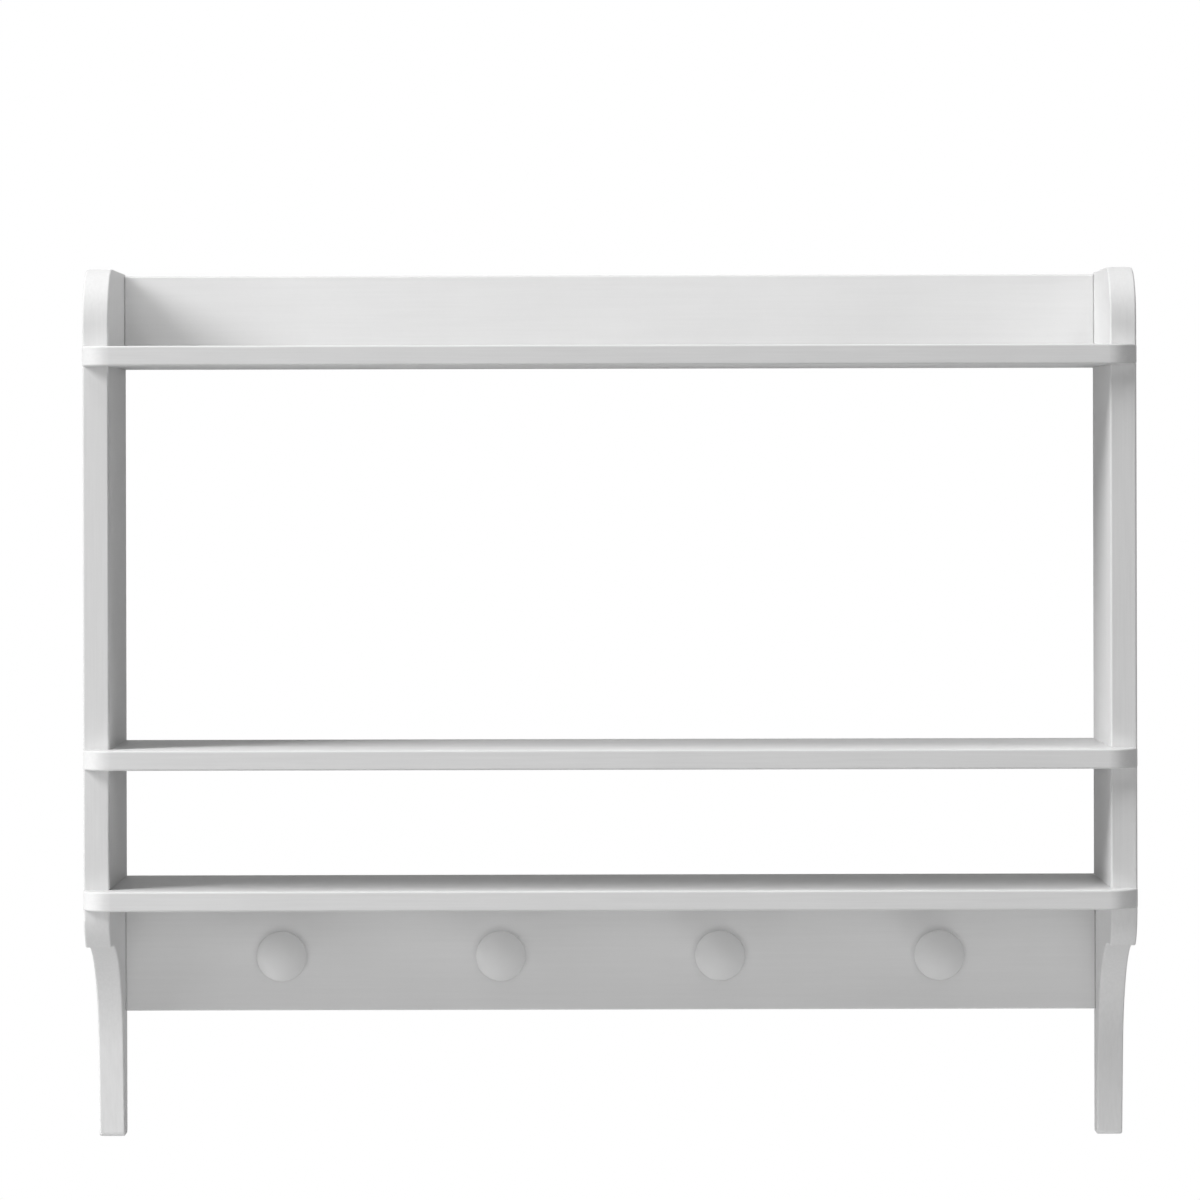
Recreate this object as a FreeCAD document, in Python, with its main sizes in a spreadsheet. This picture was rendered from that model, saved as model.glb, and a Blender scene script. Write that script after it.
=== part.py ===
import FreeCAD, Part
import math
import os
import re

import Sketcher

# A painted wooden wall shelf: two shaped sides, three shelves, a back rail over the top shelf
# and a peg rail with four turned knobs under the bottom shelf. It hangs from two keyhole plates.
# Frame: X to the viewer's right, Y into the wall, Z up. The wall is the plane Y = 0 and the front
# is towards -Y. Z = 0 and X = 0 lie midway between the two keyhole entries. Millimetres.

SHEET_NAME = "Sizes"

# Driving dimensions: alias, value, meaning
SIZES = (
    ("overall_width", 800, "over the outer faces of the sides"),
    ("side_depth", 160, "wall to the front edge of a side"),
    ("side_thickness", 20, "board of a side"),
    ("shelf_thickness", 15, "board of a shelf"),
    ("rail_thickness", 15, "board of the two rails"),
    ("nose_depth", 22, "shelf front proud of the sides, also its corner radius"),
    ("tray_height", 60, "top shelf's top to the top of the sides"),
    ("upper_bay_height", 291, "clear height under the top shelf"),
    ("lower_bay_height", 91.5, "clear height under the middle shelf"),
    ("lobe_height", 30, "bottom shelf's underside to the ledge under the lobe"),
    ("leg_height", 157.5, "ledge to the foot"),
    ("top_corner_radius", 42, "round front top corner of a side"),
    ("lobe_inset", 17, "front edge back to the lobe's corner"),
    ("lobe_ledge", 11, "flat under the lobe, from its corner to the cove"),
    ("lobe_round", 2, "radius of the lobe's corner, over the arrises' radius"),
    ("foot_depth", 23, "wall to the front of the foot"),
    ("leg_taper", 8, "slope of the leg's front below the cove, degrees"),
    ("foot_round", 4, "radius of the foot's two corners"),
    ("side_edge_round", 1.5, "rounded arrises of a side"),
    ("nose_edge_round", 1.5, "rounded arrises of a shelf front"),
    ("top_rail_height", 58, "back rail over the top shelf"),
    ("peg_rail_height", 90, "rail under the bottom shelf"),
    ("rail_edge_round", 1.5, "rounded arrises around a rail's front"),
    ("dowel_diameter", 8, "beech dowel"),
    ("dowel_length", 30, "beech dowel"),
    ("dowel_chamfer", 1, "on both ends of a dowel"),
    ("dowel_clearance", 0.05, "radial, dowel in its hole"),
    ("dowel_end_gap", 0.5, "hole deeper than the dowel, at each end"),
    ("dowel_in_side", 11, "dowel's length held in a side"),
    ("dowel_in_shelf", 10, "edge dowel's length held in a shelf"),
    ("shelf_dowel_inset", 40, "shelf dowels from the wall and from the side's front edge"),
    ("top_rail_dowel_spacing", 30, "between the two dowels in an end of the top rail"),
    ("peg_rail_dowel_spacing", 50, "between the two dowels in an end of the peg rail"),
    ("edge_dowel_inset", 210, "a rail's end to the outer dowels along its long edge"),
    ("knob_end_inset", 123.5, "the peg rail's end to the outer knob's axis"),
    ("knob_drop", 46, "top of the peg rail to the knob axes"),
    ("knob_projection", 32, "rail's face to the knob's crown"),
    ("knob_head_diameter", 39, "widest part of the head"),
    ("knob_head_rise", 12, "widest part of the head to the crown"),
    ("knob_rim_radius", 5, "round rim of the head"),
    ("knob_neck_diameter", 18, "narrowest part of the neck"),
    ("knob_neck_rise", 9, "rail's face to the narrowest part"),
    ("knob_base_diameter", 24, "foot of the knob on the rail"),
    ("knob_bore_gap", 2, "blind hole deeper than the threaded insert"),
    ("insert_diameter", 8, "threaded insert in a knob"),
    ("insert_length", 12, "threaded insert in a knob"),
    ("insert_chamfer", 0.6, "outer ends of the insert"),
    ("insert_clearance", 0.05, "radial, insert in the knob and screw in the insert"),
    ("knob_screw_diameter", 4, "machine screw that holds a knob"),
    ("knob_screw_short", 1.5, "the screw stops this far short of the insert's end"),
    ("knob_screw_chamfer", 0.6, "at the screw's tip"),
    ("knob_screw_head_diameter", 8, "pan head"),
    ("knob_screw_head_height", 2.6, "pan head"),
    ("knob_screw_crown_radius", 1.2, "rounding of the pan head"),
    ("knob_hole_clearance", 0.5, "radial, knob screw in the peg rail"),
    ("counterbore_clearance", 1.5, "radial, knob screw's head in the rail's back"),
    ("counterbore_sink", 0.9, "knob screw's head below the rail's back"),
    ("recess_width", 1, "arm of a cross recess in a screw head"),
    ("knob_recess_length", 4.4, "tip to tip of the cross recess in a knob screw"),
    ("knob_recess_depth", 1.4, "cross recess in a knob screw"),
    ("hanger_inset", 80, "side's inner face to the keyhole's middle"),
    ("hanger_width", 16, "keyhole plate, round ended"),
    ("hanger_length", 42, "keyhole plate"),
    ("hanger_thickness", 2, "keyhole plate"),
    ("hanger_clearance", 0.1, "plate in its recess and its screws in their holes"),
    ("hanger_entry_drop", 4, "middle of the plate down to the keyhole's entry"),
    ("hanger_entry_diameter", 9, "round entry of the keyhole"),
    ("hanger_slot_width", 4.5, "slot of the keyhole"),
    ("hanger_slot_rise", 9, "entry's centre up to the slot's seat"),
    ("head_pocket_clearance", 0.75, "radial, keyhole's entry to the room behind it"),
    ("head_pocket_depth", 8, "room in the rail for the wall screw's head, from the wall"),
    ("hanger_screw_spacing", 30, "between the plate's two wood screws"),
    ("hanger_screw_diameter", 3, "countersunk wood screw"),
    ("hanger_screw_cover", 3, "wood left in front of the plate's screws"),
    ("hanger_screw_head_diameter", 6, "countersunk wood screw"),
    ("hanger_screw_tip", 3, "length of the screw's point"),
    ("hanger_recess_length", 3, "tip to tip of the cross recess in a wood screw"),
    ("hanger_recess_depth", 0.9, "cross recess in a wood screw"),
    ("overrun", 1, "a cut that goes right through runs past the far face by this"),
)

# Two coordinates this close are the same place
SAME_PLACE = 1e-4

# Half widths
OUTER_HALF = "overall_width / 2"
INNER_HALF = "(overall_width / 2 - side_thickness)"
NOSE_FRONT = "(-side_depth - nose_depth)"

# Heights of the boards, from the keyhole entries
TOP_SHELF_TOP = "(hanger_entry_drop - top_rail_height / 2)"
TOP_SHELF_UNDER = f"({TOP_SHELF_TOP} - shelf_thickness)"
MIDDLE_SHELF_TOP = f"({TOP_SHELF_UNDER} - upper_bay_height)"
MIDDLE_SHELF_UNDER = f"({MIDDLE_SHELF_TOP} - shelf_thickness)"
BOTTOM_SHELF_TOP = f"({MIDDLE_SHELF_UNDER} - lower_bay_height)"
BOTTOM_SHELF_UNDER = f"({BOTTOM_SHELF_TOP} - shelf_thickness)"
SIDE_TOP = f"({TOP_SHELF_TOP} + tray_height)"
LEDGE = f"({BOTTOM_SHELF_UNDER} - lobe_height)"
FOOT = f"({LEDGE} - leg_height)"
TOP_RAIL_TOP = f"({TOP_SHELF_TOP} + top_rail_height)"
TOP_RAIL_MIDDLE = f"({TOP_SHELF_TOP} + top_rail_height / 2)"
PEG_RAIL_UNDER = f"({BOTTOM_SHELF_UNDER} - peg_rail_height)"
PEG_RAIL_MIDDLE = f"({BOTTOM_SHELF_UNDER} - peg_rail_height / 2)"
KNOB_AXIS = f"({BOTTOM_SHELF_UNDER} - knob_drop)"

# The lobe's arc leaves the front edge upright and reaches its corner
LOBE_RADIUS = "((pow(lobe_inset; 2) + pow(lobe_height; 2)) / (2 * lobe_inset))"
# The cove leaves the ledge level and meets the leg's sloping front, which ends at the foot
COVE_START = "(-side_depth + lobe_inset + lobe_ledge)"
COVE_RADIUS = (
    f"((-foot_depth - {COVE_START} - leg_height * tan(leg_taper))"
    " / (cos(leg_taper) - (1 - sin(leg_taper)) * tan(leg_taper)))"
)

# Dowels
DOWEL_HOLE = "(dowel_diameter + 2 * dowel_clearance)"
SIDE_HOLE_DEPTH = "(dowel_in_side + dowel_end_gap)"
END_HOLE_DEPTH = "(dowel_length - dowel_in_side + dowel_end_gap)"
SHELF_HOLE_DEPTH = "(dowel_in_shelf + dowel_end_gap)"
RAIL_HOLE_DEPTH = "(dowel_length - dowel_in_shelf + dowel_end_gap)"
BACK_DOWEL = "(-shelf_dowel_inset)"
FRONT_DOWEL = "(shelf_dowel_inset - side_depth)"
RAIL_DOWEL = "(-rail_thickness / 2)"
EDGE_DOWEL_SPACING = f"({INNER_HALF} - edge_dowel_inset)"

# Knob positions and how their screws sit in the rail
KNOB_NUMBERS = (1, 2, 3, 4)
KNOB_GAPS = KNOB_NUMBERS[-1] - KNOB_NUMBERS[0]
KNOB_SPACING = f"(2 * ({INNER_HALF} - knob_end_inset) / {KNOB_GAPS})"
COUNTERBORE_DEPTH = "(knob_screw_head_height + counterbore_sink)"
KNOB_SCREW_LENGTH = f"(rail_thickness - {COUNTERBORE_DEPTH} + insert_length - knob_screw_short)"

# A knob's half section: the rim and the neck are arcs that meet, and the crown is tangent to the rim
RIM_OUT = "(knob_projection - knob_head_rise)"
RIM_CENTRE = "(knob_head_diameter / 2 - knob_rim_radius)"
CROWN_SWEEP = "(knob_head_rise - knob_rim_radius)"
CROWN_SETBACK = f"((pow({RIM_CENTRE}; 2) - pow({CROWN_SWEEP}; 2)) / (2 * {CROWN_SWEEP}))"
CROWN_CENTRE = f"({RIM_OUT} - {CROWN_SETBACK})"
CROWN_RADIUS = f"(knob_projection - {CROWN_CENTRE})"
CROWN_SHARE = f"({CROWN_RADIUS} / ({CROWN_RADIUS} - knob_rim_radius))"
NECK_REACH = f"({RIM_CENTRE} - knob_neck_diameter / 2)"
NECK_STEP = f"({RIM_OUT} - knob_neck_rise)"
NECK_RADIUS = (
    f"((pow({NECK_STEP}; 2) + pow({NECK_REACH}; 2) - pow(knob_rim_radius; 2))"
    f" / (2 * (knob_rim_radius + {NECK_REACH})))"
)
NECK_CENTRE = f"(knob_neck_diameter / 2 + {NECK_RADIUS})"
NECK_SHARE = f"(knob_rim_radius / (knob_rim_radius + {NECK_RADIUS}))"
BASE_RISE = (
    f"(knob_neck_rise - sqrt(pow({NECK_RADIUS}; 2)"
    f" - pow({NECK_CENTRE} - knob_base_diameter / 2; 2)))"
)
KNOB_BORE = "(insert_diameter + 2 * insert_clearance)"
KNOB_BORE_DEPTH = "(insert_length + knob_bore_gap)"
INSERT_BORE = "(knob_screw_diameter + 2 * insert_clearance)"

# Keyhole plates: the plate's middle and its seat sit above the entry, which is at Z = 0
HANGER_ACROSS = f"({INNER_HALF} - hanger_inset)"
PLATE_MIDDLE = "hanger_entry_drop"
PLATE_LOW = f"({PLATE_MIDDLE} - (hanger_length - hanger_width) / 2)"
PLATE_HIGH = f"({PLATE_MIDDLE} + (hanger_length - hanger_width) / 2)"
COUNTERSINK = "((hanger_screw_head_diameter - hanger_screw_diameter) / 2)"
HANGER_HOLE = "(hanger_screw_diameter + 2 * hanger_clearance)"
HANGER_SCREW_LENGTH = "(rail_thickness - hanger_screw_cover)"
HANGER_PILOT_DEPTH = f"({HANGER_SCREW_LENGTH} + hanger_clearance)"

# Directions of a curve between two points of an outline: its centre to the left or to the right
LEFT_TURN = 1
RIGHT_TURN = -1

HAND_NAMES = {-1: "left", 1: "right"}
EDGE_DOWEL_STEPS = (-1, 0, 1)
# How sketches number the ends of a line or an arc, and a circle's centre
START_INDEX = 1
END_INDEX = 2
CENTRE_INDEX = 3
X_AXIS = FreeCAD.Vector(1, 0, 0)
Y_AXIS = FreeCAD.Vector(0, 1, 0)
Z_AXIS = FreeCAD.Vector(0, 0, 1)
QUARTER_TURN = 90
FULL_TURN = 360

doc = FreeCAD.newDocument("WallShelf")
sheet = doc.addObject("Spreadsheet::Sheet", SHEET_NAME)


def fill_sheet():
    for row, (alias, number, meaning) in enumerate(SIZES, start=1):
        sheet.set(f"A{row}", meaning)
        sheet.set(f"B{row}", str(number))
        sheet.setAlias(f"B{row}", alias)
    doc.recompute()


ALIAS_WORD = re.compile(r"\b(" + "|".join(alias for alias, _, _ in SIZES) + r")\b")


def in_sheet(expression):
    """The same expression with every size read from the sheet."""
    return ALIAS_WORD.sub(SHEET_NAME + r".\1", str(expression))


def value(expression):
    return float(sheet.evalExpression(in_sheet(expression)))


def bind(item, name, expression):
    item.setExpression(name, in_sheet(expression))


def place(item, across="0", back="0", up="0"):
    bind(item, ".Placement.Base.x", across)
    bind(item, ".Placement.Base.y", back)
    bind(item, ".Placement.Base.z", up)


def new_body(label):
    body = doc.addObject("PartDesign::Body", label)
    body.Label = label
    return body


def new_sketch(body, plane, offset="0"):
    """A sketch on one of the body's own planes, moved along that plane's normal by offset."""
    planes = {feature.Role: feature for feature in body.Origin.OriginFeatures}
    sketch = body.newObject("Sketcher::SketchObject", f"{body.Label}_sketch")
    sketch.AttachmentSupport = (planes[plane], [""])
    sketch.MapMode = "FlatFace"
    bind(sketch, ".AttachmentOffset.Base.z", offset)
    return sketch


def fix_point(sketch, geometry, point, across, up):
    for kind, expression in (("DistanceX", across), ("DistanceY", up)):
        index = sketch.addConstraint(Sketcher.Constraint(kind, geometry, point, value(expression)))
        bind(sketch, f"Constraints[{index}]", expression)


def fix_radius(sketch, geometry, expression):
    index = sketch.addConstraint(Sketcher.Constraint("Radius", geometry, value(expression)))
    bind(sketch, f"Constraints[{index}]", expression)


def add_arc(sketch, start, end, radius, turn):
    """An arc under a half circle. Sketch arcs run anticlockwise, so a right turn is stored backwards."""
    chord = end - start
    middle = (start + end) * 0.5
    height = math.sqrt(max(radius * radius - chord.Length * chord.Length / 4, 0))
    normal = FreeCAD.Vector(-chord.y, chord.x, 0).normalize()
    centre = middle + normal * (turn * height)
    first, last = (start, end) if turn == LEFT_TURN else (end, start)
    circle = Part.Circle(centre, Z_AXIS, radius)
    first_angle = math.atan2(first.y - centre.y, first.x - centre.x)
    last_angle = math.atan2(last.y - centre.y, last.x - centre.x)
    if last_angle < first_angle:
        last_angle += 2 * math.pi
    return sketch.addGeometry(Part.ArcOfCircle(circle, first_angle, last_angle), False)


def draw_outline(sketch, outline):
    """A closed outline. Each entry is a point (across, up), and a curve leaves it where a radius
    and a turn follow. Every point and radius is bound to the sheet."""
    points = [FreeCAD.Vector(value(entry[0]), value(entry[1]), 0) for entry in outline]
    ends = []
    for number, entry in enumerate(outline):
        start = points[number]
        end = points[(number + 1) % len(points)]
        if len(entry) == 2:
            geometry = sketch.addGeometry(Part.LineSegment(start, end), False)
            ends.append((geometry, START_INDEX, END_INDEX))
            continue
        radius, turn = entry[2:]
        geometry = add_arc(sketch, start, end, value(radius), turn)
        if turn == LEFT_TURN:
            ends.append((geometry, START_INDEX, END_INDEX))
        else:
            ends.append((geometry, END_INDEX, START_INDEX))
    for number, entry in enumerate(outline):
        geometry, start, end = ends[number]
        following, following_start, _ = ends[(number + 1) % len(ends)]
        joint = Sketcher.Constraint("Coincident", geometry, end, following, following_start)
        sketch.addConstraint(joint)
        fix_point(sketch, geometry, start, entry[0], entry[1])
        if len(entry) > 2:
            fix_radius(sketch, geometry, entry[2])


def draw_circles(sketch, centres, diameter):
    for across, up in centres:
        centre = FreeCAD.Vector(value(across), value(up), 0)
        radius = f"({diameter}) / 2"
        circle = Part.Circle(centre, Z_AXIS, value(radius))
        geometry = sketch.addGeometry(circle, False)
        fix_point(sketch, geometry, CENTRE_INDEX, across, up)
        fix_radius(sketch, geometry, radius)


def oblong(across, low, high, width):
    """A round-ended outline whose two end centres are at low and high, in quarter arcs."""
    half = f"({width}) / 2"
    left = f"({across}) - {half}"
    right = f"({across}) + {half}"
    return (
        (left, low, half, LEFT_TURN),
        (across, f"({low}) - {half}", half, LEFT_TURN),
        (right, low),
        (right, high, half, LEFT_TURN),
        (across, f"({high}) + {half}", half, LEFT_TURN),
        (left, high),
    )


def pad(body, sketch, length, reverse=False):
    feature = body.newObject("PartDesign::Pad", f"{body.Label}_pad")
    feature.Profile = sketch
    feature.Reversed = reverse
    bind(feature, "Length", length)
    doc.recompute()
    return feature


def pocket(body, sketch, depth, reverse=False):
    """Cuts against the sketch's normal, or along it when reversed, and must remove something."""
    before = body.Shape.Volume
    feature = body.newObject("PartDesign::Pocket", f"{body.Label}_pocket")
    feature.Profile = sketch
    feature.Reversed = reverse
    bind(feature, "Length", depth)
    doc.recompute()
    if body.Shape.Volume >= before:
        raise RuntimeError(f"{feature.Label} removed nothing")
    return feature


def revolve(body, sketch):
    feature = body.newObject("PartDesign::Revolution", f"{body.Label}_turned")
    feature.Profile = sketch
    feature.ReferenceAxis = (sketch, ["V_Axis"])
    feature.Angle = FULL_TURN
    doc.recompute()
    return feature


def drill(body, plane, offset, centres, diameter, depth, reverse=False):
    sketch = new_sketch(body, plane, offset)
    draw_circles(sketch, centres, diameter)
    return pocket(body, sketch, depth, reverse)


def edge_points(edge):
    middle = edge.valueAt((edge.FirstParameter + edge.LastParameter) / 2)
    return [middle] + [vertex.Point for vertex in edge.Vertexes]


def edge_names(body, wanted):
    """Names of the edges that the test, which sees an edge's middle and ends, accepts."""
    numbered = enumerate(body.Shape.Edges, start=1)
    return [f"Edge{number}" for number, edge in numbered if wanted(edge_points(edge))]


def lies_at(points, axis, coordinate):
    return all(abs(getattr(point, axis) - coordinate) < SAME_PLACE for point in points)


def dress(body, kind, wanted, size_name, size):
    """A fillet or a chamfer on the edges that the test accepts."""
    names = edge_names(body, wanted)
    if not names:
        raise RuntimeError(f"{body.Label} has no edge to dress")
    base = body.Tip
    feature = body.newObject(f"PartDesign::{kind}", f"{body.Label}_{kind.lower()}")
    feature.Base = (base, names)
    bind(feature, size_name, size)
    doc.recompute()
    return feature


def round_edges(body, wanted, radius):
    return dress(body, "Fillet", wanted, "Radius", radius)


def group(label, pieces):
    """Separate solids that share one node."""
    compound = doc.addObject("Part::Compound", label)
    compound.Label = label
    compound.Links = pieces
    return compound


def shelf_dowel_places(shelf_under):
    middle = f"({shelf_under} + shelf_thickness / 2)"
    return [(BACK_DOWEL, middle), (FRONT_DOWEL, middle)]


def rail_dowel_places(rail_middle, spacing):
    low = f"({rail_middle} - {spacing} / 2)"
    high = f"({rail_middle} + {spacing} / 2)"
    return [(RAIL_DOWEL, low), (RAIL_DOWEL, high)]


END_DOWELS = {
    "top_shelf_dowels": shelf_dowel_places(TOP_SHELF_UNDER),
    "middle_shelf_dowels": shelf_dowel_places(MIDDLE_SHELF_UNDER),
    "bottom_shelf_dowels": shelf_dowel_places(BOTTOM_SHELF_UNDER),
    "top_rail_dowels": rail_dowel_places(TOP_RAIL_MIDDLE, "top_rail_dowel_spacing"),
    "peg_rail_dowels": rail_dowel_places(PEG_RAIL_MIDDLE, "peg_rail_dowel_spacing"),
}
EDGE_DOWEL_ACROSS = [f"{step} * {EDGE_DOWEL_SPACING}" for step in EDGE_DOWEL_STEPS]


def make_side(hand):
    """A shaped board. Its inner face is the body's own YZ plane."""
    body = new_body(f"{HAND_NAMES[hand]}_side")
    sketch = new_sketch(body, "YZ_Plane")
    outline = (
        ("0", SIDE_TOP),
        ("top_corner_radius - side_depth", SIDE_TOP, "top_corner_radius", LEFT_TURN),
        ("-side_depth", f"{SIDE_TOP} - top_corner_radius"),
        ("-side_depth", BOTTOM_SHELF_UNDER, LOBE_RADIUS, LEFT_TURN),
        ("lobe_inset - side_depth", LEDGE),
        (COVE_START, LEDGE, COVE_RADIUS, RIGHT_TURN),
        (
            f"{COVE_START} + {COVE_RADIUS} * cos(leg_taper)",
            f"{LEDGE} - {COVE_RADIUS} * (1 - sin(leg_taper))",
        ),
        ("-foot_depth", FOOT),
        ("0", FOOT),
    )
    draw_outline(sketch, outline)
    pad(body, sketch, "side_thickness", reverse=hand < 0)
    foot = value(FOOT)
    foot_front = value("-foot_depth")
    ledge = value(LEDGE)
    lobe_corner = value("lobe_inset - side_depth")
    outer = hand * value("side_thickness")

    def is_foot_corner(points):
        on_an_end = lies_at(points, "y", foot_front) or lies_at(points, "y", 0)
        return lies_at(points, "z", foot) and on_an_end

    def is_lobe_corner(points):
        return lies_at(points, "z", ledge) and lies_at(points, "y", lobe_corner)

    def is_arris(points):
        on_a_face = lies_at(points, "x", 0) or lies_at(points, "x", outer)
        return on_a_face and not lies_at(points, "y", 0)

    round_edges(body, is_foot_corner, "foot_round")
    round_edges(body, is_lobe_corner, "lobe_round")
    round_edges(body, is_arris, "side_edge_round")
    holes = [hole for holes in END_DOWELS.values() for hole in holes]
    drill(body, "YZ_Plane", "0", holes, DOWEL_HOLE, SIDE_HOLE_DEPTH, reverse=hand > 0)
    place(body, f"{hand} * {INNER_HALF}")
    return body


def drill_ends(body, places):
    """Dowel holes in both ends of a board that runs from side to side."""
    for hand in HAND_NAMES:
        end = f"{hand} * {INNER_HALF}"
        drill(body, "YZ_Plane", end, places, DOWEL_HOLE, END_HOLE_DEPTH, reverse=hand < 0)


def make_shelf(label, under):
    """A board between the sides whose front runs past them, with quarter-round corners."""
    body = new_body(label)
    sketch = new_sketch(body, "XY_Plane")
    outline = (
        (f"-{INNER_HALF}", "0"),
        (f"-{INNER_HALF}", "-side_depth"),
        (f"-{OUTER_HALF}", "-side_depth", "nose_depth", LEFT_TURN),
        (f"nose_depth - {OUTER_HALF}", NOSE_FRONT),
        (f"{OUTER_HALF} - nose_depth", NOSE_FRONT, "nose_depth", LEFT_TURN),
        (OUTER_HALF, "-side_depth"),
        (INNER_HALF, "-side_depth"),
        (INNER_HALF, "0"),
    )
    draw_outline(sketch, outline)
    pad(body, sketch, "shelf_thickness")
    notch = value("-side_depth")
    top = value("shelf_thickness")

    def is_nose_arris(points):
        on_a_face = lies_at(points, "z", 0) or lies_at(points, "z", top)
        return on_a_face and points[0].y < notch - SAME_PLACE

    round_edges(body, is_nose_arris, "nose_edge_round")
    drill_ends(body, shelf_dowel_places("0"))
    place(body, up=under)
    return body


def make_top_shelf():
    body = make_shelf("top_shelf", TOP_SHELF_UNDER)
    holes = [(across, RAIL_DOWEL) for across in EDGE_DOWEL_ACROSS]
    drill(body, "XY_Plane", "shelf_thickness", holes, DOWEL_HOLE, SHELF_HOLE_DEPTH)
    return body


def make_bottom_shelf():
    body = make_shelf("bottom_shelf", BOTTOM_SHELF_UNDER)
    holes = [(across, RAIL_DOWEL) for across in EDGE_DOWEL_ACROSS]
    drill(body, "XY_Plane", "0", holes, DOWEL_HOLE, SHELF_HOLE_DEPTH, reverse=True)
    return body


def make_rail(label, under, over, seat):
    """A board on edge at the wall. Its front is rounded all round, but not where it meets the shelf."""
    body = new_body(label)
    sketch = new_sketch(body, "XZ_Plane")
    outline = (
        (f"-{INNER_HALF}", under),
        (INNER_HALF, under),
        (INNER_HALF, over),
        (f"-{INNER_HALF}", over),
    )
    draw_outline(sketch, outline)
    pad(body, sketch, "rail_thickness")
    front = value("-rail_thickness")
    seat_height = value(seat)

    def is_front_arris(points):
        return lies_at(points, "y", front) and not lies_at(points, "z", seat_height)

    round_edges(body, is_front_arris, "rail_edge_round")
    return body


def cut_hanger_seat(body, hand):
    """Room in the rail's back for a keyhole plate, its wood screws and the wall screw's head."""
    across = f"{hand} * {HANGER_ACROSS}"
    recess = new_sketch(body, "XZ_Plane")
    width = "hanger_width + 2 * hanger_clearance"
    draw_outline(recess, oblong(across, PLATE_LOW, PLATE_HIGH, width))
    pocket(body, recess, "hanger_thickness", reverse=True)
    head_room = new_sketch(body, "XZ_Plane")
    width = "hanger_entry_diameter + 2 * head_pocket_clearance"
    draw_outline(head_room, oblong(across, "0", "hanger_slot_rise", width))
    pocket(body, head_room, "head_pocket_depth", reverse=True)
    pilots = [(across, height) for height in hanger_screw_heights()]
    drill(body, "XZ_Plane", "0", pilots, HANGER_HOLE, HANGER_PILOT_DEPTH, reverse=True)


def make_top_back_rail():
    body = make_rail("top_back_rail", TOP_SHELF_TOP, TOP_RAIL_TOP, TOP_SHELF_TOP)
    drill_ends(body, END_DOWELS["top_rail_dowels"])
    holes = [(across, RAIL_DOWEL) for across in EDGE_DOWEL_ACROSS]
    drill(body, "XY_Plane", TOP_SHELF_TOP, holes, DOWEL_HOLE, RAIL_HOLE_DEPTH, reverse=True)
    for hand in HAND_NAMES:
        cut_hanger_seat(body, hand)
    return body


def make_peg_rail():
    body = make_rail("peg_rail", PEG_RAIL_UNDER, BOTTOM_SHELF_UNDER, BOTTOM_SHELF_UNDER)
    drill_ends(body, END_DOWELS["peg_rail_dowels"])
    holes = [(across, RAIL_DOWEL) for across in EDGE_DOWEL_ACROSS]
    drill(body, "XY_Plane", BOTTOM_SHELF_UNDER, holes, DOWEL_HOLE, RAIL_HOLE_DEPTH)
    knobs = [(knob_across(number), KNOB_AXIS) for number in KNOB_NUMBERS]
    hole = "knob_screw_diameter + 2 * knob_hole_clearance"
    drill(body, "XZ_Plane", "0", knobs, hole, "rail_thickness + overrun", reverse=True)
    counterbore = "knob_screw_head_diameter + 2 * counterbore_clearance"
    drill(body, "XZ_Plane", "0", knobs, counterbore, COUNTERBORE_DEPTH, reverse=True)
    return body


def knob_across(number):
    middle_number = (KNOB_NUMBERS[0] + KNOB_NUMBERS[-1]) / 2
    return f"{number - middle_number} * {KNOB_SPACING}"


def face_front(item):
    """Turns a piece made along Z so that it points out of the wall."""
    item.Placement = FreeCAD.Placement(FreeCAD.Vector(), FreeCAD.Rotation(X_AXIS, QUARTER_TURN))


def lie_across(item):
    """Turns a piece made along Z so that it points to the right."""
    item.Placement = FreeCAD.Placement(FreeCAD.Vector(), FreeCAD.Rotation(Y_AXIS, QUARTER_TURN))


def turned_body(label, outline):
    """A round piece along Z, from a half section of (radius, height) points."""
    body = new_body(label)
    sketch = new_sketch(body, "XZ_Plane")
    draw_outline(sketch, outline)
    revolve(body, sketch)
    return body


def make_knob(number):
    outline = (
        (f"{KNOB_BORE} / 2", "0"),
        ("knob_base_diameter / 2", "0"),
        ("knob_base_diameter / 2", BASE_RISE, NECK_RADIUS, RIGHT_TURN),
        ("knob_neck_diameter / 2", "knob_neck_rise", NECK_RADIUS, RIGHT_TURN),
        (
            f"{RIM_CENTRE} + ({NECK_CENTRE} - {RIM_CENTRE}) * {NECK_SHARE}",
            f"{RIM_OUT} - {NECK_STEP} * {NECK_SHARE}",
            "knob_rim_radius",
            LEFT_TURN,
        ),
        ("knob_head_diameter / 2", RIM_OUT, "knob_rim_radius", LEFT_TURN),
        (
            f"{RIM_CENTRE} * {CROWN_SHARE}",
            f"{CROWN_CENTRE} + {CROWN_SETBACK} * {CROWN_SHARE}",
            CROWN_RADIUS,
            LEFT_TURN,
        ),
        ("0", "knob_projection"),
        ("0", KNOB_BORE_DEPTH),
        (f"{KNOB_BORE} / 2", KNOB_BORE_DEPTH),
    )
    body = turned_body(f"knob_{number}", outline)
    face_front(body)
    place(body, knob_across(number), "-rail_thickness", KNOB_AXIS)
    return body


def make_knob_insert(number):
    """A threaded bush in the knob, its bore drawn at the screw's outer diameter."""
    outline = (
        (f"{INSERT_BORE} / 2", "0"),
        ("insert_diameter / 2 - insert_chamfer", "0"),
        ("insert_diameter / 2", "insert_chamfer"),
        ("insert_diameter / 2", "insert_length - insert_chamfer"),
        ("insert_diameter / 2 - insert_chamfer", "insert_length"),
        (f"{INSERT_BORE} / 2", "insert_length"),
    )
    body = turned_body(f"knob_insert_{number}", outline)
    face_front(body)
    place(body, knob_across(number), "-rail_thickness", KNOB_AXIS)
    return body


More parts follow.
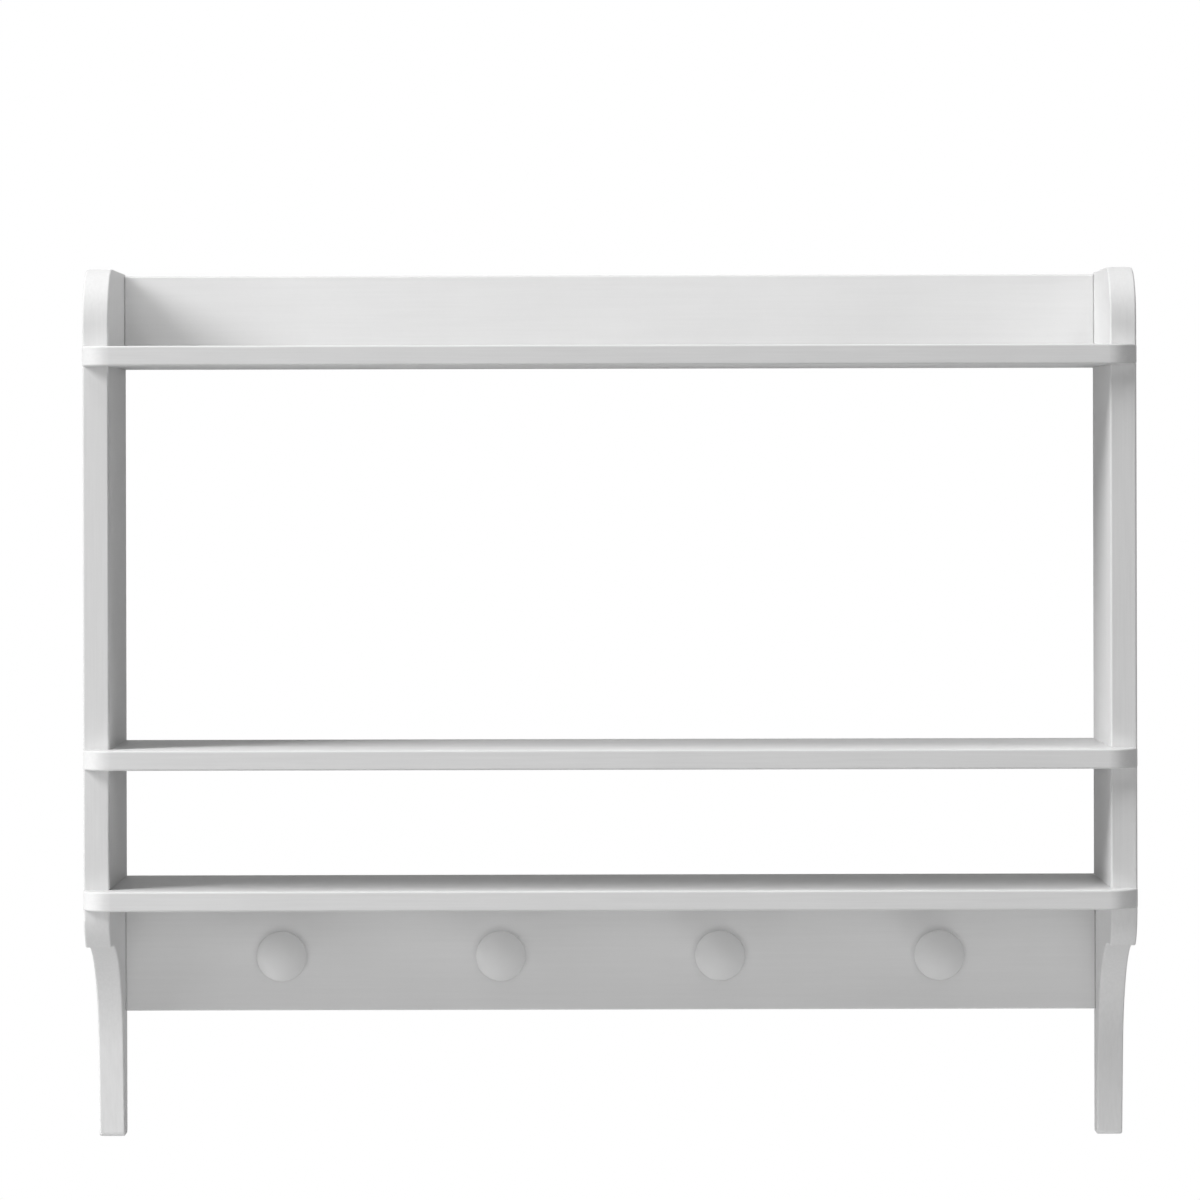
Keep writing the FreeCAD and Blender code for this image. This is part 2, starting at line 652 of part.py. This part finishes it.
def cut_cross_recess(body, offset, length, depth, reverse):
    """Two crossing slots in the head of a screw."""
    near_arm = "recess_width / 2"
    far_arm = f"{length} / 2"
    corners = (
        (near_arm, near_arm),
        (near_arm, far_arm),
        (f"-{near_arm}", far_arm),
        (f"-{near_arm}", near_arm),
        (f"-{far_arm}", near_arm),
        (f"-{far_arm}", f"-{near_arm}"),
        (f"-{near_arm}", f"-{near_arm}"),
        (f"-{near_arm}", f"-{far_arm}"),
        (near_arm, f"-{far_arm}"),
        (near_arm, f"-{near_arm}"),
        (far_arm, f"-{near_arm}"),
        (far_arm, near_arm),
    )
    sketch = new_sketch(body, "XY_Plane", offset)
    draw_outline(sketch, corners)
    pocket(body, sketch, depth, reverse)


def make_knob_screw(number):
    """A pan-head machine screw from behind the rail. Its head bears on the counterbore's floor."""
    crown = "knob_screw_crown_radius"
    outline = (
        ("0", "-knob_screw_head_height"),
        (f"knob_screw_head_diameter / 2 - {crown}", "-knob_screw_head_height", crown, LEFT_TURN),
        ("knob_screw_head_diameter / 2", f"{crown} - knob_screw_head_height"),
        ("knob_screw_head_diameter / 2", "0"),
        ("knob_screw_diameter / 2", "0"),
        ("knob_screw_diameter / 2", f"{KNOB_SCREW_LENGTH} - knob_screw_chamfer"),
        ("knob_screw_diameter / 2 - knob_screw_chamfer", KNOB_SCREW_LENGTH),
        ("0", KNOB_SCREW_LENGTH),
    )
    body = turned_body(f"knob_screw_{number}", outline)
    face = "-knob_screw_head_height"
    cut_cross_recess(body, face, "knob_recess_length", "knob_recess_depth", reverse=True)
    face_front(body)
    place(body, knob_across(number), f"-{COUNTERBORE_DEPTH}", KNOB_AXIS)
    return body


def hanger_screw_heights():
    half = "hanger_screw_spacing / 2"
    return [f"({PLATE_MIDDLE} - {half})", f"({PLATE_MIDDLE} + {half})"]


def make_hanger(hand):
    """A keyhole plate flush in the rail's back, with its screw holes countersunk at the wall."""
    body = new_body(f"{HAND_NAMES[hand]}_keyhole_hanger")
    plate = new_sketch(body, "XZ_Plane")
    draw_outline(plate, oblong("0", PLATE_LOW, PLATE_HIGH, "hanger_width"))
    pad(body, plate, "hanger_thickness")
    holes = [("0", height) for height in hanger_screw_heights()]
    through = "hanger_thickness + overrun"
    drill(body, "XZ_Plane", "0", holes, HANGER_HOLE, through, reverse=True)
    rim = value(f"{HANGER_HOLE} / 2")
    heights = [value(height) for height in hanger_screw_heights()]

    def is_hole_rim(points):
        near_hole = any(abs(points[0].z - height) < rim + SAME_PLACE for height in heights)
        return lies_at(points, "y", 0) and near_hole and abs(points[0].x) < rim + SAME_PLACE

    dress(body, "Chamfer", is_hole_rim, "Size", COUNTERSINK)
    drill(body, "XZ_Plane", "0", [("0", "0")], "hanger_entry_diameter", through, reverse=True)
    slot = new_sketch(body, "XZ_Plane")
    draw_outline(slot, oblong("0", "0", "hanger_slot_rise", "hanger_slot_width"))
    pocket(body, slot, through, reverse=True)
    place(body, f"{hand} * {HANGER_ACROSS}")
    return body


def make_hanger_screw(label, across, up):
    outline = (
        ("0", "0"),
        ("hanger_screw_head_diameter / 2", "0"),
        ("hanger_screw_diameter / 2", COUNTERSINK),
        ("hanger_screw_diameter / 2", f"{HANGER_SCREW_LENGTH} - hanger_screw_tip"),
        ("0", HANGER_SCREW_LENGTH),
    )
    body = turned_body(label, outline)
    cut_cross_recess(body, "0", "hanger_recess_length", "hanger_recess_depth", reverse=True)
    face_front(body)
    place(body, across, up=up)
    return body


def make_hanger_screws(hand):
    label = f"{HAND_NAMES[hand]}_hanger_screws"
    across = f"{hand} * {HANGER_ACROSS}"
    screws = [
        make_hanger_screw(f"{label}_{number}", across, up)
        for number, up in enumerate(hanger_screw_heights(), start=1)
    ]
    return group(label, screws)


def make_dowel(label):
    outline = (
        ("0", "0"),
        ("dowel_diameter / 2 - dowel_chamfer", "0"),
        ("dowel_diameter / 2", "dowel_chamfer"),
        ("dowel_diameter / 2", "dowel_length - dowel_chamfer"),
        ("dowel_diameter / 2 - dowel_chamfer", "dowel_length"),
        ("0", "dowel_length"),
    )
    return turned_body(label, outline)


def make_end_dowels(label, places):
    """Dowels that join both ends of a board to the sides."""
    starts = {-1: f"-{INNER_HALF} - dowel_in_side", 1: f"{INNER_HALF} + dowel_in_side - dowel_length"}
    dowels = []
    for hand, start in starts.items():
        for number, (back, up) in enumerate(places, start=1):
            dowel = make_dowel(f"{label}_{HAND_NAMES[hand]}_{number}")
            lie_across(dowel)
            place(dowel, start, back, up)
            dowels.append(dowel)
    return group(label, dowels)


def make_edge_dowels(label, start):
    """Upright dowels that join a rail's long edge to its shelf."""
    dowels = []
    for number, across in enumerate(EDGE_DOWEL_ACROSS, start=1):
        dowel = make_dowel(f"{label}_{number}")
        place(dowel, across, RAIL_DOWEL, start)
        dowels.append(dowel)
    return group(label, dowels)


def make_nodes():
    nodes = [make_side(hand) for hand in HAND_NAMES]
    nodes.append(make_top_shelf())
    nodes.append(make_shelf("middle_shelf", MIDDLE_SHELF_UNDER))
    nodes.append(make_bottom_shelf())
    nodes.append(make_top_back_rail())
    nodes.append(make_peg_rail())
    for number in KNOB_NUMBERS:
        nodes.append(make_knob(number))
        nodes.append(make_knob_insert(number))
        nodes.append(make_knob_screw(number))
    for hand in HAND_NAMES:
        nodes.append(make_hanger(hand))
        nodes.append(make_hanger_screws(hand))
    for label, places in END_DOWELS.items():
        nodes.append(make_end_dowels(label, places))
    nodes.append(make_edge_dowels("top_rail_edge_dowels", f"{TOP_SHELF_TOP} - dowel_in_shelf"))
    start = f"{BOTTOM_SHELF_UNDER} + dowel_in_shelf - dowel_length"
    nodes.append(make_edge_dowels("peg_rail_edge_dowels", start))
    return nodes


def check_document(nodes):
    for item in doc.Objects:
        if {"Invalid", "Error"} & set(item.State):
            raise RuntimeError(f"{item.Label} failed: {item.State}")
    for node in nodes:
        if node.Shape.isNull() or not node.Shape.isValid() or not node.Shape.Solids:
            raise RuntimeError(f"{node.Label} is not a valid solid")


def write_steps(nodes):
    os.makedirs("parts", exist_ok=True)
    for node in nodes:
        node.Shape.exportStep(f"parts/{node.Label}.step")
        print(node.Label, len(node.Shape.Solids), round(node.Shape.Volume))


fill_sheet()
all_nodes = make_nodes()
doc.recompute()
check_document(all_nodes)
write_steps(all_nodes)
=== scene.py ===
"""The painted wall shelf with four turned knobs, dressed for its picture. Lengths are metres."""
import math

import bpy
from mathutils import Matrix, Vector


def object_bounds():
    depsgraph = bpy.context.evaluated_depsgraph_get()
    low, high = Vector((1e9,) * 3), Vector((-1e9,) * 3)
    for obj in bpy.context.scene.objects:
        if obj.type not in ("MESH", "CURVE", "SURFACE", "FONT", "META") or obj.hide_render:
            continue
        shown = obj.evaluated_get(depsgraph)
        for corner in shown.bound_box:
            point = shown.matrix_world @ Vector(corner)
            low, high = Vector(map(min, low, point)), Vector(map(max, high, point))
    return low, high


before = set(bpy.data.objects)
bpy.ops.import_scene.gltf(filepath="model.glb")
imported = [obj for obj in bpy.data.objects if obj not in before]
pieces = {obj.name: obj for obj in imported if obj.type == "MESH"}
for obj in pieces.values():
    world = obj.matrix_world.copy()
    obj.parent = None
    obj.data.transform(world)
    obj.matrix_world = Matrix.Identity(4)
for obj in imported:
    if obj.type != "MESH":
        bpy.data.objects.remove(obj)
cad_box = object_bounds()

MM = 0.001

# The names of the pieces
KNOB_NUMBERS = (1, 2, 3, 4)
SIDES = ["left_side", "right_side"]
SHELVES = ["top_shelf", "middle_shelf", "bottom_shelf"]
RAILS = ["top_back_rail", "peg_rail"]
KNOBS = [f"knob_{number}" for number in KNOB_NUMBERS]
KNOB_INSERTS = [f"knob_insert_{number}" for number in KNOB_NUMBERS]
KNOB_SCREWS = [f"knob_screw_{number}" for number in KNOB_NUMBERS]
KEYHOLE_HANGERS = ["left_keyhole_hanger", "right_keyhole_hanger"]
HANGER_SCREWS = ["left_hanger_screws", "right_hanger_screws"]
SHELF_DOWELS = ["top_shelf_dowels", "middle_shelf_dowels", "bottom_shelf_dowels"]
RAIL_DOWELS = ["top_rail_dowels", "peg_rail_dowels"]
RAIL_EDGE_DOWELS = ["top_rail_edge_dowels", "peg_rail_edge_dowels"]

# The directions that a piece's grain runs in
LEVEL = "X"
UPRIGHT = "Z"

# How finely each kind of noise is broken up, and the range that most of its values lie in
CLOUD_DETAIL = 2
STREAK_DETAIL = 3
FLECK_DETAIL = 1
NOISE_RANGE = (0.3, 0.7)

# White satin paint: its tone and gloss, a slow drift in its tone, the wood's grain, which stands
# faintly through it and less so on the rails, and a fine orange peel
PAINT_TONE = 0.72
PAINT_SPECULAR = 0.3
PAINT_ROUGHNESS = (0.5, 0.6)
DRIFT_SIZE = 90 * MM
DRIFT_TONE = 0.012
GRAIN_WIDTH = 2 * MM
GRAIN_LENGTH = 70 * MM
GRAIN_TONE = 0.018
GRAIN_RELIEF = 0.06 * MM
RAIL_GRAIN_SHARE = 0.45
PEEL_SIZE = 2.4 * MM
PEEL_RELIEF = 0.02 * MM

# Bright zinc plate on the steel parts
ZINC_COLOURS = ((0.42, 0.43, 0.46), (0.57, 0.575, 0.59))
ZINC_ROUGHNESS = (0.24, 0.42)
ZINC_PATCH = 5 * MM
ZINC_SCRATCH = (9 * MM, 0.12 * MM, 0.12 * MM)
ZINC_RELIEF = 0.004 * MM

# Turned brass bushes, with tool marks round their axis, which points out of the wall
BRASS_COLOURS = ((0.66, 0.47, 0.2), (0.78, 0.6, 0.3))
BRASS_ROUGHNESS = (0.2, 0.36)
BRASS_PATCH = 4 * MM
BRASS_TURNING = (30 * MM, 0.1 * MM, 30 * MM)
BRASS_RELIEF = 0.006 * MM

# Bare beech dowels: pale wood, and short darker flecks where a finer noise is high. Both are
# given by their length along the grain and their width
BEECH_COLOURS = ((0.56, 0.37, 0.22), (0.76, 0.57, 0.39))
BEECH_ROUGHNESS = (0.6, 0.75)
BEECH_GRAIN = (22 * MM, 0.5 * MM)
BEECH_RELIEF = 0.03 * MM
FLECK_COLOUR = (0.42, 0.25, 0.14)
FLECK_SIZE = (3 * MM, 0.25 * MM)
FLECK_RANGE = (0.62, 0.7)

# The photograph: a long lens 4.6 m out from the wall, held level, whose axis meets the picture
# above its middle
PHOTO_PIXELS = 1200
PHOTO_MIDDLE = PHOTO_PIXELS / 2
SENSOR_WIDTH_MM = 36
FOCAL_PIXELS = 5823
AXIS_PIXEL = (609.5, 469.8)
CAMERA_PLACE = (0, -4.578, -0.1194)
CAMERA_TILT = math.radians(90)
CAMERA_ROLL = math.radians(0.13)

# The studio: each lamp faces the shelf's middle and is given by its degrees to the left of the
# front, its degrees above the level, its distance, its width and its watts. The close ones stand
# for the light that a pale ground throws up
LAMPS = {
    "key": (60, 32, 5, 2.4, 188),
    "high_left": (60, 65, 5, 1.6, 68),
    "high_right": (-75, 65, 5, 1.6, 76),
    "front": (0, -1, 5, 2.5, 62),
    "behind": (180, 0, 12, 1.2, 520),
    "ground_far_left": (81, -18, 1.39, 0.8, 4),
    "ground_left": (65, -57, 1.12, 0.8, 1.7),
    "ground_right": (-65, -57, 1.12, 0.8, 2.4),
}

# The lamp that lights the back gives no gloss, because it would glance off the shelf tops
MATT_LAMP = "behind"

# The even light from all round, and the glow that shows as plain white
AMBIENT = 0.045
WHITE_GLOW = 1
WHITE = (1, 1, 1, 1)

# A pale floor well below the shelf. It fades to plain white between two distances from its
# middle, and throws less light up at the shelf than its own tone would
FLOOR_DROP = 1.0
FLOOR_RADIUS = 2.4
FLOOR_SIDES = 96
FLOOR_TONE = 0.85
FLOOR_BOUNCE_TONE = 0.2
FLOOR_ROUGHNESS = (0.75, 0.9)
FLOOR_GRAIN = 12 * MM
FLOOR_FADE = (0.8, 2.2)


def set_input(tree, socket, value):
    """Give a node's input a value of its own, or join it to another node's output."""
    if isinstance(value, bpy.types.NodeSocket):
        tree.links.new(value, socket)
    else:
        socket.default_value = value


def add_node(tree, kind, inputs=None):
    node = tree.nodes.new(kind)
    for name, value in (inputs or {}).items():
        set_input(tree, node.inputs[name], value)
    return node


def combine(tree, operation, first, second):
    node = add_node(tree, "ShaderNodeMath", {0: first, 1: second})
    node.operation = operation
    return node.outputs["Value"]


def remap(tree, value, old_range, new_range=(0, 1), shape="LINEAR"):
    """A value's place in its old range, carried over to a new one and held inside it."""
    limits = {
        "From Min": old_range[0],
        "From Max": old_range[1],
        "To Min": new_range[0],
        "To Max": new_range[1],
    }
    node = add_node(tree, "ShaderNodeMapRange", limits)
    node.interpolation_type = shape
    set_input(tree, node.inputs["Value"], value)
    return node.outputs["Result"]


def blend(tree, share, low, high):
    """A colour between two, each given as a colour or as another node's output."""
    node = add_node(tree, "ShaderNodeMix")
    node.data_type = "RGBA"
    set_input(tree, node.inputs["Factor"], share)
    sockets = [socket for socket in node.inputs if socket.type == "RGBA"]
    for socket, colour in zip(sockets, (low, high)):
        set_input(tree, socket, opaque(colour) if isinstance(colour, tuple) else colour)
    return next(socket for socket in node.outputs if socket.type == "RGBA")


def opaque(colour):
    return (*colour, 1)


def mix_shaders(tree, share, first, second):
    mix = add_node(tree, "ShaderNodeMixShader", {"Fac": share, 1: first, 2: second})
    return mix.outputs["Shader"]


def object_place(tree):
    return add_node(tree, "ShaderNodeTexCoord").outputs["Object"]


def noise(tree, sizes, detail):
    """Noise whose features have these sizes along X, Y and Z."""
    scales = [1 / size for size in sizes]
    mapping = add_node(tree, "ShaderNodeMapping", {"Vector": object_place(tree), "Scale": scales})
    settings = {"Vector": mapping.outputs["Vector"], "Scale": 1, "Detail": detail}
    return add_node(tree, "ShaderNodeTexNoise", settings).outputs["Fac"]


def cloud(tree, size):
    """Noise of one size in all directions."""
    return noise(tree, (size, size, size), CLOUD_DETAIL)


def streaks(tree, axis, length, width, detail=STREAK_DETAIL):
    """Noise drawn out along one axis."""
    return noise(tree, [length if direction == axis else width for direction in "XYZ"], detail)


def relief(tree, height, depth, below=None):
    """A bump of that depth, laid over another one if given."""
    inputs = {"Height": height, "Strength": 1, "Distance": depth}
    if below is not None:
        inputs["Normal"] = below
    return add_node(tree, "ShaderNodeBump", inputs).outputs["Normal"]


def new_material(name):
    """An empty material and its tree of nodes."""
    material = bpy.data.materials.new(name)
    material.use_nodes = True
    material.node_tree.nodes.clear()
    return material, material.node_tree


def surface(tree, looks):
    return add_node(tree, "ShaderNodeBsdfPrincipled", looks).outputs["BSDF"]


def show(tree, shader):
    add_node(tree, "ShaderNodeOutputMaterial", {"Surface": shader})


def white_paint(name, grain_axis=None, grain_share=1):
    """Satin lacquer on wood: the grain stands faintly through it, along the board."""
    material, tree = new_material(name)
    drift = cloud(tree, DRIFT_SIZE)
    tone = remap(tree, drift, NOISE_RANGE, (PAINT_TONE - DRIFT_TONE, PAINT_TONE + DRIFT_TONE))
    peel = cloud(tree, PEEL_SIZE)
    normal = relief(tree, peel, PEEL_RELIEF)
    if grain_axis:
        grain = streaks(tree, grain_axis, GRAIN_LENGTH, GRAIN_WIDTH)
        grain_tone = GRAIN_TONE * grain_share
        grain_shade = remap(tree, grain, NOISE_RANGE, (-grain_tone, grain_tone))
        tone = combine(tree, "ADD", tone, grain_shade)
        normal = relief(tree, grain, GRAIN_RELIEF * grain_share, below=normal)
    looks = {
        "Base Color": tone,
        "Roughness": remap(tree, peel, NOISE_RANGE, PAINT_ROUGHNESS),
        "Specular IOR Level": PAINT_SPECULAR,
        "Normal": normal,
    }
    show(tree, surface(tree, looks))
    return material


def metal(name, colours, roughness, patch, mark_sizes, mark_depth):
    """Cloudy bright metal with fine marks along or round the piece."""
    material, tree = new_material(name)
    marks = noise(tree, mark_sizes, STREAK_DETAIL)
    looks = {
        "Base Color": blend(tree, cloud(tree, patch), *colours),
        "Metallic": 1,
        "Roughness": remap(tree, marks, NOISE_RANGE, roughness),
        "Normal": relief(tree, marks, mark_depth),
    }
    show(tree, surface(tree, looks))
    return material


def beech(name, grain_axis):
    """Bare wood with a fleck, both along the dowel."""
    material, tree = new_material(name)
    grain = streaks(tree, grain_axis, *BEECH_GRAIN)
    wood = blend(tree, grain, *BEECH_COLOURS)
    fleck = remap(tree, streaks(tree, grain_axis, *FLECK_SIZE, FLECK_DETAIL), FLECK_RANGE)
    looks = {
        "Base Color": blend(tree, fleck, wood, FLECK_COLOUR),
        "Roughness": remap(tree, grain, NOISE_RANGE, BEECH_ROUGHNESS),
        "Normal": relief(tree, grain, BEECH_RELIEF),
    }
    show(tree, surface(tree, looks))
    return material


def floor_finish():
    """A pale matt floor that turns to the white of the background away from the shelf."""
    material, tree = new_material("floor_pale")
    seen = background_share(tree)
    looks = {
        "Base Color": remap(tree, seen, (0, 1), (FLOOR_BOUNCE_TONE, FLOOR_TONE)),
        "Roughness": remap(tree, cloud(tree, FLOOR_GRAIN), NOISE_RANGE, FLOOR_ROUGHNESS),
    }
    distance = add_node(tree, "ShaderNodeVectorMath", {0: object_place(tree)})
    distance.operation = "LENGTH"
    fade = remap(tree, distance.outputs["Value"], FLOOR_FADE, shape="SMOOTHSTEP")
    glow = add_node(tree, "ShaderNodeEmission", {"Color": WHITE, "Strength": WHITE_GLOW})
    share = combine(tree, "MULTIPLY", fade, seen)
    show(tree, mix_shaders(tree, share, surface(tree, looks), glow.outputs["Emission"]))
    return material


def background_share(tree):
    """1 for rays that should meet the plain white background, 0 for those that carry light."""
    path = add_node(tree, "ShaderNodeLightPath")
    share = path.outputs["Is Camera Ray"]
    for kind in ("Is Glossy Ray", "Is Transmission Ray"):
        share = combine(tree, "MAXIMUM", share, path.outputs[kind])
    return share


def dress(names, material):
    """Give these pieces one finish, in place of what they came with."""
    for name in names:
        mesh = pieces[name].data
        mesh.materials.clear()
        mesh.materials.append(material)


def dress_all():
    zinc = metal("zinc_steel", ZINC_COLOURS, ZINC_ROUGHNESS, ZINC_PATCH, ZINC_SCRATCH, ZINC_RELIEF)
    brass = metal("brass", BRASS_COLOURS, BRASS_ROUGHNESS, BRASS_PATCH, BRASS_TURNING, BRASS_RELIEF)
    dress(SIDES, white_paint("white_paint_upright", UPRIGHT))
    dress(SHELVES, white_paint("white_paint_level", LEVEL))
    dress(RAILS, white_paint("white_paint_rail", LEVEL, RAIL_GRAIN_SHARE))
    dress(KNOBS, white_paint("white_paint_turned"))
    dress(KNOB_INSERTS, brass)
    dress(KNOB_SCREWS + KEYHOLE_HANGERS + HANGER_SCREWS, zinc)
    dress(SHELF_DOWELS + RAIL_DOWELS, beech("beech_level", LEVEL))
    dress(RAIL_EDGE_DOWELS, beech("beech_upright", UPRIGHT))


def make_camera():
    data = bpy.data.cameras.new("camera")
    data.sensor_width = SENSOR_WIDTH_MM
    data.lens = SENSOR_WIDTH_MM * FOCAL_PIXELS / PHOTO_PIXELS
    data.shift_x = (PHOTO_MIDDLE - AXIS_PIXEL[0]) / PHOTO_PIXELS
    data.shift_y = (AXIS_PIXEL[1] - PHOTO_MIDDLE) / PHOTO_PIXELS
    camera = bpy.data.objects.new("camera", data)
    camera.location = CAMERA_PLACE
    camera.rotation_euler = (CAMERA_TILT, CAMERA_ROLL, 0)
    bpy.context.collection.objects.link(camera)
    bpy.context.scene.camera = camera


def make_world():
    """A little even light from all round, with a plain white background."""
    world = bpy.data.worlds.new("world")
    bpy.context.scene.world = world
    world.use_nodes = True
    tree = world.node_tree
    tree.nodes.clear()
    studio = add_node(tree, "ShaderNodeBackground", {"Color": WHITE, "Strength": AMBIENT})
    white = add_node(tree, "ShaderNodeBackground", {"Color": WHITE, "Strength": WHITE_GLOW})
    backgrounds = (studio.outputs["Background"], white.outputs["Background"])
    mix = mix_shaders(tree, background_share(tree), *backgrounds)
    add_node(tree, "ShaderNodeOutputWorld", {"Surface": mix})


def make_lamp(name, left_degrees, up_degrees, distance, width, watts):
    data = bpy.data.lights.new(name, "AREA")
    data.shape = "DISK"
    data.size = width
    data.energy = watts
    lamp = bpy.data.objects.new(name, data)
    lamp.visible_camera = False
    lamp.visible_glossy = name != MATT_LAMP
    left = math.radians(left_degrees)
    up = math.radians(up_degrees)
    sideways = -math.sin(left) * math.cos(up)
    outward = -math.cos(left) * math.cos(up)
    direction = Vector((sideways, outward, math.sin(up)))
    middle = (Vector(cad_box[0]) + Vector(cad_box[1])) / 2
    lamp.location = middle + direction * distance
    lamp.rotation_euler = direction.to_track_quat("Z", "Y").to_euler()
    bpy.context.collection.objects.link(lamp)


def make_floor():
    height = cad_box[0][2] - FLOOR_DROP
    bpy.ops.mesh.primitive_circle_add(
        vertices=FLOOR_SIDES, radius=FLOOR_RADIUS, fill_type="NGON", location=(0, 0, height)
    )
    floor = bpy.context.object
    floor.name = "floor"
    floor.data.materials.append(floor_finish())


dress_all()
make_camera()
make_world()
make_floor()
for lamp_name, lamp_settings in LAMPS.items():
    make_lamp(lamp_name, *lamp_settings)

bpy.context.scene.view_settings.view_transform = "Standard"
